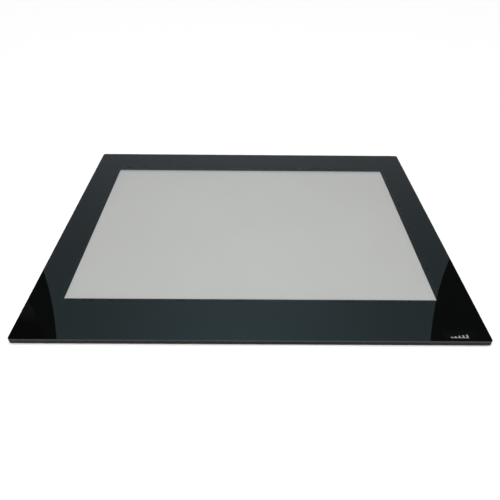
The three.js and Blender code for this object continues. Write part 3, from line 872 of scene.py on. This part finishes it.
class LIGHTBOX_OT_stage(PieceOperator):
    """Sets the floor, the lamps, the mirrored cards and the camera"""

    bl_idname = "lightbox.stage"
    bl_label = "Stage"

    def build(self, scene):
        settings = scene.light_box_stage
        scene.view_settings.view_transform = "Standard"
        self.floor(settings)
        self.sky(scene)
        self.lamps(settings)
        self.cards(settings)
        self.camera(scene, settings)

    def floor(self, settings):
        """A round floor that reaches past the camera's view."""
        reach = 14.0
        bm = bmesh.new()
        bmesh.ops.create_circle(bm, cap_ends=True, segments=96, radius=reach)
        made = from_bmesh("floor", bm)
        made.data.materials.append(pale_floor(settings.floor))

    def sky(self, scene):
        """White near the horizon, and dark overhead so that the glass has something to mirror."""
        world = bpy.data.worlds.new("studio")
        scene.world = world
        world.use_nodes = True
        tree = world.node_tree
        tree.nodes.clear()
        place = tree.nodes.new("ShaderNodeTexCoord")
        apart = tree.nodes.new("ShaderNodeSeparateXYZ")
        rise = tree.nodes.new("ShaderNodeMapRange")
        rise.interpolation_type = "SMOOTHSTEP"
        light = tree.nodes.new("ShaderNodeBackground")
        light.inputs["Color"].default_value = (1, 1, 1, 1)
        out = tree.nodes.new("ShaderNodeOutputWorld")
        white_below, dark_above, overhead_light = 0.33, 0.56, 0.02
        rise.inputs["From Min"].default_value = white_below
        rise.inputs["From Max"].default_value = dark_above
        rise.inputs["To Min"].default_value = 1.0
        rise.inputs["To Max"].default_value = overhead_light
        tree.links.new(place.outputs["Generated"], apart.inputs[0])
        tree.links.new(apart.outputs["Z"], rise.inputs["Value"])
        tree.links.new(rise.outputs["Result"], light.inputs["Strength"])
        tree.links.new(light.outputs[0], out.inputs["Surface"])

    def lamps(self, settings):
        """Broad even light from overhead and a softbox over the front, kept out of the glass."""
        overhead, over_front = (0, 0, 2), (0.0, -0.15, 0.5)
        even = bpy.data.lights.new("even_light", "SUN")
        even.angle = math.radians(80)
        even.energy = settings.even_light
        softbox = bpy.data.lights.new("softbox", "AREA")
        softbox.shape = "RECTANGLE"
        softbox.size, softbox.size_y = 0.3, 0.25
        softbox.energy = settings.lamp_power
        for light, place in ((even, overhead), (softbox, over_front)):
            made = bpy.data.objects.new(light.name, light)
            made.location = place
            made.visible_glossy = False
            made.visible_camera = False
            bpy.context.scene.collection.objects.link(made)

    def cards(self, settings):
        """Cards that only the glass mirrors: a tall one behind, bowed forward at its top, and
        plain walls to the left, the right and the front."""
        half = settings.card_width / 2
        upright_top, bow, bow_angle, steps = 0.6, 0.5, 70, 12
        rows = [(settings.card_distance, 0), (settings.card_distance, upright_top)]
        for i in range(1, steps + 1):
            angle = math.radians(bow_angle * i / steps)
            forward = bow * (1 - math.cos(angle))
            rows.append((settings.card_distance - forward, upright_top + bow * math.sin(angle)))
        ends = [settings.card_shift - half, settings.card_shift + half]
        finish = self.card_light("card_light", settings.card_light, settings.card_shift, half)
        self.card("mirrored_card", [[(x, y, z) for y, z in rows] for x in ends], finish)

        grey, dim = (0.3, 0.3, 0.3), (0.12, 0.1, 0.09)
        near, far, top, low_top, even_reach = 0.45, 1.0, 1.4, 0.3, 10
        for name, start, end, foot, head, light in (
            ("left_wall", (-far, near), (-far, -far), 0, top, grey),
            ("right_wall", (far, near), (far, -far), 0, top, grey),
            ("front_wall", (-far, -far), (far, -far), 0, top, grey),
            ("rear_wall", (-far, far), (far, far), 0, low_top, grey),
            ("left_gap", (-far, near), (-far, far), 0, low_top, grey),
            ("right_gap", (far, near), (far, far), 0, low_top, grey),
            ("warm_corner", (-1.5, 0.75), (-0.8, 0.75), 0.5, 1.6, dim),
        ):
            finish = self.card_light(name + "_light", 1.0, 0, even_reach, light)
            self.card(name, [[(*place, z) for z in (foot, head)] for place in (start, end)], finish)

    def card(self, name, sides, finish):
        """A card between two edges of the same number of points."""
        bm = bmesh.new()
        left, right = ([bm.verts.new(place) for place in side] for side in sides)
        for corners in zip(left, right, right[1:], left[1:]):
            bm.faces.new(corners)
        made = from_bmesh(name, bm)
        made.data.materials.append(finish)
        made.visible_camera = False
        made.visible_diffuse = False
        made.visible_shadow = False

    def card_light(self, name, light, middle, half, tint=(1, 1, 1)):
        """Brightest at the middle and high up, fading to the sides, the foot and the top edge."""
        f = Finish(name)
        at_side, at_foot = 0.62, 0.63
        side = f.maths("ABSOLUTE", f.maths("SUBTRACT", f.axis("X"), middle))
        across = f.mapped(side, 0.0, half, 1.0, at_side, "SMOOTHSTEP")
        up = f.mapped(f.axis("Z"), 0.2, 0.95, at_foot, 1.0)
        up = f.maths("MULTIPLY", up, f.mapped(f.axis("Z"), 0.96, 1.06, 1.0, 0.0, "SMOOTHSTEP"))
        lit = f.add("ShaderNodeEmission")
        lit.inputs["Color"].default_value = (*tint, 1)
        f.feed(lit.inputs["Strength"], f.maths("MULTIPLY", f.maths("MULTIPLY", across, up), light))
        return f.shown(lit.outputs[0])

    def camera(self, scene, settings):
        """The camera, from its height, its distance and its three angles."""
        data = bpy.data.cameras.new("camera")
        data.sensor_width = 36.0
        data.lens = settings.lens
        data.clip_start = 0.01
        made = bpy.data.objects.new("camera", data)
        facing = (
            Matrix.Rotation(-settings.turn, 4, "Z")
            @ Matrix.Rotation(math.pi / 2 - settings.pitch, 4, "X")
            @ Matrix.Rotation(settings.roll, 4, "Z")
        )
        height = pane_high.z + settings.camera_height
        place = Vector((-settings.camera_side, -settings.camera_back, height))
        made.matrix_world = Matrix.Translation(place) @ facing
        scene.collection.objects.link(made)
        scene.camera = made


class LIGHTBOX_OT_glass(PieceOperator):
    """Builds the clear pane with its polished arris"""

    bl_idname = "lightbox.glass"
    bl_label = "Cover Glass"

    def build(self, scene):
        face = scene.light_box_face
        rounds = face.arris_rounds
        turns = [math.pi / 2 * i / rounds for i in range(rounds + 1)]
        below = [
            (face.arris * (1 - math.sin(a)), pane_low.z + face.arris * (1 - math.cos(a)))
            for a in turns
        ]
        above = [
            (face.arris * (1 - math.cos(a)), pane_high.z - face.arris * (1 - math.sin(a)))
            for a in turns
        ]
        sections = below + above
        pane = stacked("glass_pane", pane_low, pane_high, face.corner, sections, 12, True)
        smooth(pane, flat_above=100 * MM * MM)
        sides, arris, least_slope = 1, 3, 0.1
        for side in pane.data.polygons:
            if side.material_index == sides and abs(side.normal.z) > least_slope:
                side.material_index = arris
        finishes = [
            clear_glass(face.coating, face.coating_low, face.ink),
            ground_edge(face.edge),
            bonded_glass(),
            ground_arris(face.bevel),
        ]
        settle(pane, finishes, replaced=["cover_glass"])


class LIGHTBOX_OT_print(PieceOperator):
    """Finishes the border print and the level mark"""

    bl_idname = "lightbox.border_print"
    bl_label = "Border Print"

    def build(self, scene):
        face = scene.light_box_face
        paint("border_print", border_ink(face.ink))
        paint("level_mark", mark_ink(face.mark))


class LIGHTBOX_OT_film(PieceOperator):
    """Finishes the opal film in the window"""

    bl_idname = "lightbox.film"
    bl_label = "Opal Film"

    def build(self, scene):
        face = scene.light_box_face
        # The film's painted border shadow is at full strength from margin inside its rear edge,
        # under the border print, and fades into the window over its depth.
        margin = 3 * MM
        edge = film_high.y - margin
        finish = opal_film(face.film, face.film_painted_shadow, edge, face.painted_shadow_depth)
        paint("diffuser_sheet", finish)


class LIGHTBOX_OT_frame(PieceOperator):
    """Builds the side frame and finishes the middle frame and the tape"""

    bl_idname = "lightbox.frame"
    bl_label = "Frames"

    def build(self, scene):
        casing = scene.light_box_casing
        plastic = moulded_plastic("moulded_plastic", casing.plastic)
        rim = softened("side_frame", "frame_rim", casing.rounding)
        settle(rim, [plastic], replaced=["side_frame"])
        paint("middle_frame", plastic)
        tape = satin("foam_tape", (0.015, 0.0155, 0.016), 0.85, 0.25 * MM, 0.05 * MM)
        paint("glass_tape", tape)
        paint("board_tape", tape)


class LIGHTBOX_OT_cover(PieceOperator):
    """Builds the back cover"""

    bl_idname = "lightbox.cover"
    bl_label = "Back Cover"

    def build(self, scene):
        casing = scene.light_box_casing
        cover = softened("back_cover", "cover_plate", 0.5 * casing.rounding)
        settle(cover, [powder_coat(casing.coat)], replaced=["back_cover"])


class LIGHTBOX_OT_label(PieceOperator):
    """Builds the blank rating label"""

    bl_idname = "lightbox.label"
    bl_label = "Rating Label"

    def build(self, scene):
        casing = scene.light_box_casing
        low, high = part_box("rating_label")
        rim, corner = 0.02 * MM, 2 * MM
        sections = [(rim, low.z), (0, low.z + rim), (0, high.z)]
        label = stacked("label_sticker", low, high, corner, sections)
        smooth(label)
        finish = label_film(casing.label, low, high)
        settle(label, [finish], replaced=["rating_label"])


class LIGHTBOX_OT_screws(PieceOperator):
    """Sets out the countersunk back screws"""

    bl_idname = "lightbox.screws"
    bl_label = "Back Screws"

    def build(self, scene):
        casing = scene.light_box_casing
        nodes = sorted(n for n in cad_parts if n.startswith("back_screw_"))
        boxes = [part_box(n) for n in nodes]
        low, high = boxes[0]
        head = (high.x - low.x) / 2
        template = self.screw(head, high.z - low.z, casing.recess)
        screws = set_out_tree().run(
            "screw_set",
            middles(boxes),
            Piece=template,
            **{"Most turn": math.pi / 2},
            Seed=7,
            Finish=blackened_steel(casing.steel),
        )
        bpy.data.objects.remove(template)
        smooth(screws, flat_above=3 * MM * MM)
        settle(screws, [], replaced=nodes)

    def screw(self, head, tall, recess):
        """A flat head at z = 0 facing down, its shank upwards, with a cross recess."""
        shank, cone, rim, tip = 0.8 * MM, 0.7 * MM, 0.06 * MM, 0.25 * MM
        rounded = 0.3 * rim
        profile = [
            (0, 0),
            (head - rim, 0),
            (head - rounded, rounded),
            (head, rim),
            (shank, cone),
            (shank, tall - tip),
            (shank - tip, tall),
            (0, tall),
        ]
        body = lathed("screw_template", profile, 48)
        for turn in (0, math.pi / 2):
            cutter = self.blade(recess, turn)
            cut = body.modifiers.new("Recess", "BOOLEAN")
            cut.object = cutter
            cut.solver = "EXACT"
            body = baked(body, "screw_template")
            bpy.data.objects.remove(cutter)
        return body

    def blade(self, recess, turn):
        """A tapered blade: wide at the head's face, narrow at its bottom."""
        width, depth, taper = 0.38 * MM, 0.45 * MM, 0.55
        bm = bmesh.new()
        bmesh.ops.create_cube(bm, size=1.0)
        for vert in bm.verts:
            share = taper if vert.co.z > 0 else 2.0 - taper
            vert.co.x *= recess * share
            vert.co.y *= width * share
            vert.co.z *= 2 * depth
        bmesh.ops.rotate(bm, verts=bm.verts, matrix=Matrix.Rotation(turn, 3, "Z"))
        return from_bmesh("blade", bm)


class LIGHTBOX_OT_feet(PieceOperator):
    """Sets out the rubber feet"""

    bl_idname = "lightbox.feet"
    bl_label = "Rubber Feet"

    def build(self, scene):
        casing = scene.light_box_casing
        nodes = sorted(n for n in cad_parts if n.endswith("_foot"))
        boxes = [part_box(n) for n in nodes]
        low, high = boxes[0]
        template = self.foot((high.x - low.x) / 2, high.z - low.z, casing.foot_rounding)
        feet = set_out_tree().run(
            "foot_set", middles(boxes), Piece=template, Finish=rubber(casing.rubber)
        )
        bpy.data.objects.remove(template)
        smooth(feet, flat_above=20 * MM * MM)
        settle(feet, [], replaced=nodes)

    def foot(self, radius, tall, rounding):
        """A disc with a rounded rim and a shallow ring groove in its tread."""
        groove_depth, mouth, floor, rounds = 0.12 * MM, 0.5 * MM, 0.3 * MM, 4
        ring = 0.55 * radius
        profile = [
            (0, 0),
            (ring - mouth, 0),
            (ring - floor, groove_depth),
            (ring + floor, groove_depth),
            (ring + mouth, 0),
        ]
        for i in range(rounds + 1):
            angle = math.pi / 2 * i / rounds
            across = radius - rounding * (1 - math.sin(angle))
            profile.append((across, rounding * (1 - math.cos(angle))))
        profile += [(radius, tall), (0, tall)]
        return lathed("foot_template", profile, 64)


class LIGHTBOX_OT_key(PieceOperator):
    """Builds the power key and finishes its switch"""

    bl_idname = "lightbox.key"
    bl_label = "Power Key"

    def build(self, scene):
        casing = scene.light_box_casing
        key = softened("power_key", "key_cap", 0.6 * casing.rounding)
        finish = moulded_plastic("key_plastic", shade(casing.plastic, 1.3))
        settle(key, [finish], KEY, ["power_key"])
        paint("key_switch", satin("switch_resin", (0.011, 0.011, 0.012), 0.5, 0.2 * MM))
        paint("switch_plunger", satin("plunger_resin", (0.75, 0.74, 0.7), 0.4, 0.3 * MM))


class LIGHTBOX_OT_socket(PieceOperator):
    """Builds the power socket, its tongue and its contacts"""

    bl_idname = "lightbox.socket"
    bl_label = "Power Socket"

    def build(self, scene):
        casing = scene.light_box_casing
        shell = softened("power_socket", "socket_shell", 0.5 * casing.rounding)
        settle(shell, [tin_plate()], replaced=["power_socket"])
        tongue = softened("socket_tongue", "socket_tongue_moulding", 0.3 * casing.rounding)
        resin = satin("tongue_resin", (0.012, 0.012, 0.013), 0.45, 0.15 * MM)
        settle(tongue, [resin], replaced=["socket_tongue"])
        self.contacts(scene.light_box_inside)

    def contacts(self, inside):
        """Gold fingers along the underside of the tongue's blade."""
        low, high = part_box("socket_tongue")
        shell_low, shell_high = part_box("power_socket")
        blade, tip_margin = 3.8 * MM, 0.3 * MM
        finger = Vector((0.36 * MM, 2.2 * MM, 0.03 * MM))
        bottom = (shell_low.z + shell_high.z) / 2
        middle = (low.x + high.x) / 2
        count = inside.contact_count
        pitch = blade / (count + 0.5)
        y = high.y - finger.y / 2 - tip_margin
        places = [
            (middle + (i - (count - 1) / 2) * pitch, y, bottom - finger.z / 2)
            for i in range(count)
        ]
        contacts = block_row_tree().run(
            "socket_contacts", places, Size=finger, Finish=gold_plate()
        )
        settle(contacts, [])


class LIGHTBOX_OT_optics(PieceOperator):
    """Builds the lamp bars and the light guide's dots, and finishes the guide and reflector"""

    bl_idname = "lightbox.optics"
    bl_label = "Optics"

    def build(self, scene):
        inside = scene.light_box_inside
        paint("light_guide", clear_acrylic())
        film = satin("white_film", (0.8, 0.81, 0.79), 0.35, 0.5 * MM, spread=0.03)
        paint("reflector_sheet", film)
        resist = satin("white_resist", (0.78, 0.77, 0.71), 0.42, 0.4 * MM, spread=0.05)
        phosphor = satin("phosphor", inside.phosphor, 0.3, 0.2 * MM)
        for side, facing in (("front", 1), ("rear", -1)):
            self.bar(side, facing, inside, resist, phosphor)
        self.dots(inside)

    def bar(self, side, facing, inside, resist, phosphor):
        """The strip and its row of lamps, both inside the CAD bar's own space."""
        node = f"{side}_lamp_bar"
        low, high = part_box(node)
        back = low.y if facing > 0 else high.y
        front = back + facing * inside.bar_thickness
        strip_low = Vector((low.x, min(back, front), low.z))
        strip_high = Vector((high.x, max(back, front), high.z))
        rim, corner = 0.03 * MM, 0.2 * MM
        sections = [(rim, low.z), (0, low.z + rim), (0, high.z - rim), (rim, high.z)]
        strip = stacked(f"{side}_lamp_strip", strip_low, strip_high, corner, sections, 3)
        smooth(strip)
        settle(strip, [resist], replaced=[node])
        end_margin = 3 * MM
        span = film_high.x - film_low.x - 2 * end_margin
        pitch = span / inside.lamp_count
        y = front + facing * inside.lamp_depth / 2
        places = [
            ((i + 0.5) * pitch - span / 2, y, (low.z + high.z) / 2)
            for i in range(inside.lamp_count)
        ]
        tall = high.z - low.z - 2 * inside.lamp_inset
        size = Vector((inside.lamp_width, inside.lamp_depth, tall))
        lamps = block_row_tree().run(f"{side}_lamps", places, Size=size, Finish=phosphor)
        settle(lamps, [])

    def dots(self, inside):
        """White printed dots under the guide, in offset rows."""
        pitch, margin = inside.dot_pitch, 6 * MM
        row_pitch = pitch * math.sqrt(3) / 2
        thick = 0.01 * MM
        rows = int((guide_high.y - guide_low.y - 2 * margin) / row_pitch)
        columns = int((guide_high.x - guide_low.x - 2 * margin) / pitch)
        middle = (guide_low.y + guide_high.y) / 2
        places = [
            (
                (i - columns / 2 + 0.5 * (j % 2)) * pitch,
                middle + (j - rows / 2) * row_pitch,
                guide_low.z - thick,
            )
            for j in range(rows + 1)
            for i in range(columns)
        ]
        dots = dot_field_tree().run(
            "guide_dots",
            places,
            **{
                "Least radius": inside.dot_least,
                "Most radius": inside.dot_most,
                "Thickness": thick,
                "Middle": middle,
                "Half depth": (guide_high.y - guide_low.y) / 2 - margin,
            },
            Finish=satin("dot_ink", (0.85, 0.86, 0.85), 0.6, 0.2 * MM, spread=0.03),
        )
        settle(dots, [])


class LIGHTBOX_OT_electronics(PieceOperator):
    """Finishes the driver board, its components and the wires"""

    bl_idname = "lightbox.electronics"
    bl_label = "Electronics"

    def build(self, scene):
        paint("driver_board", circuit_board((0.006, 0.085, 0.028)))
        resin = satin("chip_resin", (0.012, 0.012, 0.0125), 0.55, 0.12 * MM)
        ceramic = satin("tan_ceramic", (0.33, 0.2, 0.09), 0.5, 0.2 * MM)
        ferrite = satin("ferrite", (0.04, 0.041, 0.043), 0.6, 0.2 * MM)
        for node, width, finish in (
            ("driver_chip", 0.12 * MM, resin),
            ("rectifier_diode", 0.12 * MM, resin),
            ("boost_inductor", 0.25 * MM, ferrite),
            ("input_capacitor", 0.1 * MM, ceramic),
            ("output_capacitor", 0.1 * MM, ceramic),
        ):
            made = softened(node, node + "_body", width, 3)
            settle(made, [finish], replaced=[node])
        red = satin("red_sleeve", (0.36, 0.013, 0.01), 0.45, 0.4 * MM)
        black = satin("black_sleeve", (0.008, 0.008, 0.0085), 0.45, 0.4 * MM)
        for side in ("front", "rear"):
            paint(f"{side}_wire_red", red)
            paint(f"{side}_wire_black", black)


# ---------------------------------------------------------------- panel and registration

OPERATORS = (
    LIGHTBOX_OT_stage,
    LIGHTBOX_OT_glass,
    LIGHTBOX_OT_print,
    LIGHTBOX_OT_film,
    LIGHTBOX_OT_frame,
    LIGHTBOX_OT_cover,
    LIGHTBOX_OT_label,
    LIGHTBOX_OT_screws,
    LIGHTBOX_OT_feet,
    LIGHTBOX_OT_key,
    LIGHTBOX_OT_socket,
    LIGHTBOX_OT_optics,
    LIGHTBOX_OT_electronics,
)

GROUPS = {
    "light_box_face": LightBoxFace,
    "light_box_casing": LightBoxCasing,
    "light_box_inside": LightBoxInside,
    "light_box_stage": LightBoxStage,
}


class LIGHTBOX_PT_pieces(bpy.types.Panel):
    """Lists the light box's pieces in the sidebar"""

    bl_idname = "LIGHTBOX_PT_pieces"
    bl_label = "Light Box"
    bl_space_type = "VIEW_3D"
    bl_region_type = "UI"
    bl_category = "Light Box"

    def draw(self, context):
        for operator in OPERATORS:
            self.layout.operator(operator.bl_idname)


def register():
    """Adds the sizes, the operators and the panel."""
    for group in GROUPS.values():
        bpy.utils.register_class(group)
    for operator in OPERATORS:
        bpy.utils.register_class(operator)
    bpy.utils.register_class(LIGHTBOX_PT_pieces)
    for name, group in GROUPS.items():
        setattr(bpy.types.Scene, name, bpy.props.PointerProperty(type=group))


def unregister():
    """Takes them away again."""
    for name in GROUPS:
        delattr(bpy.types.Scene, name)
    bpy.utils.unregister_class(LIGHTBOX_PT_pieces)
    for operator in reversed(OPERATORS):
        bpy.utils.unregister_class(operator)
    for group in GROUPS.values():
        bpy.utils.unregister_class(group)


def main():
    """Builds everything in order."""
    register()
    for operator in OPERATORS:
        group, name = operator.bl_idname.split(".")
        getattr(getattr(bpy.ops, group), name)()


if __name__ == "__main__":
    main()
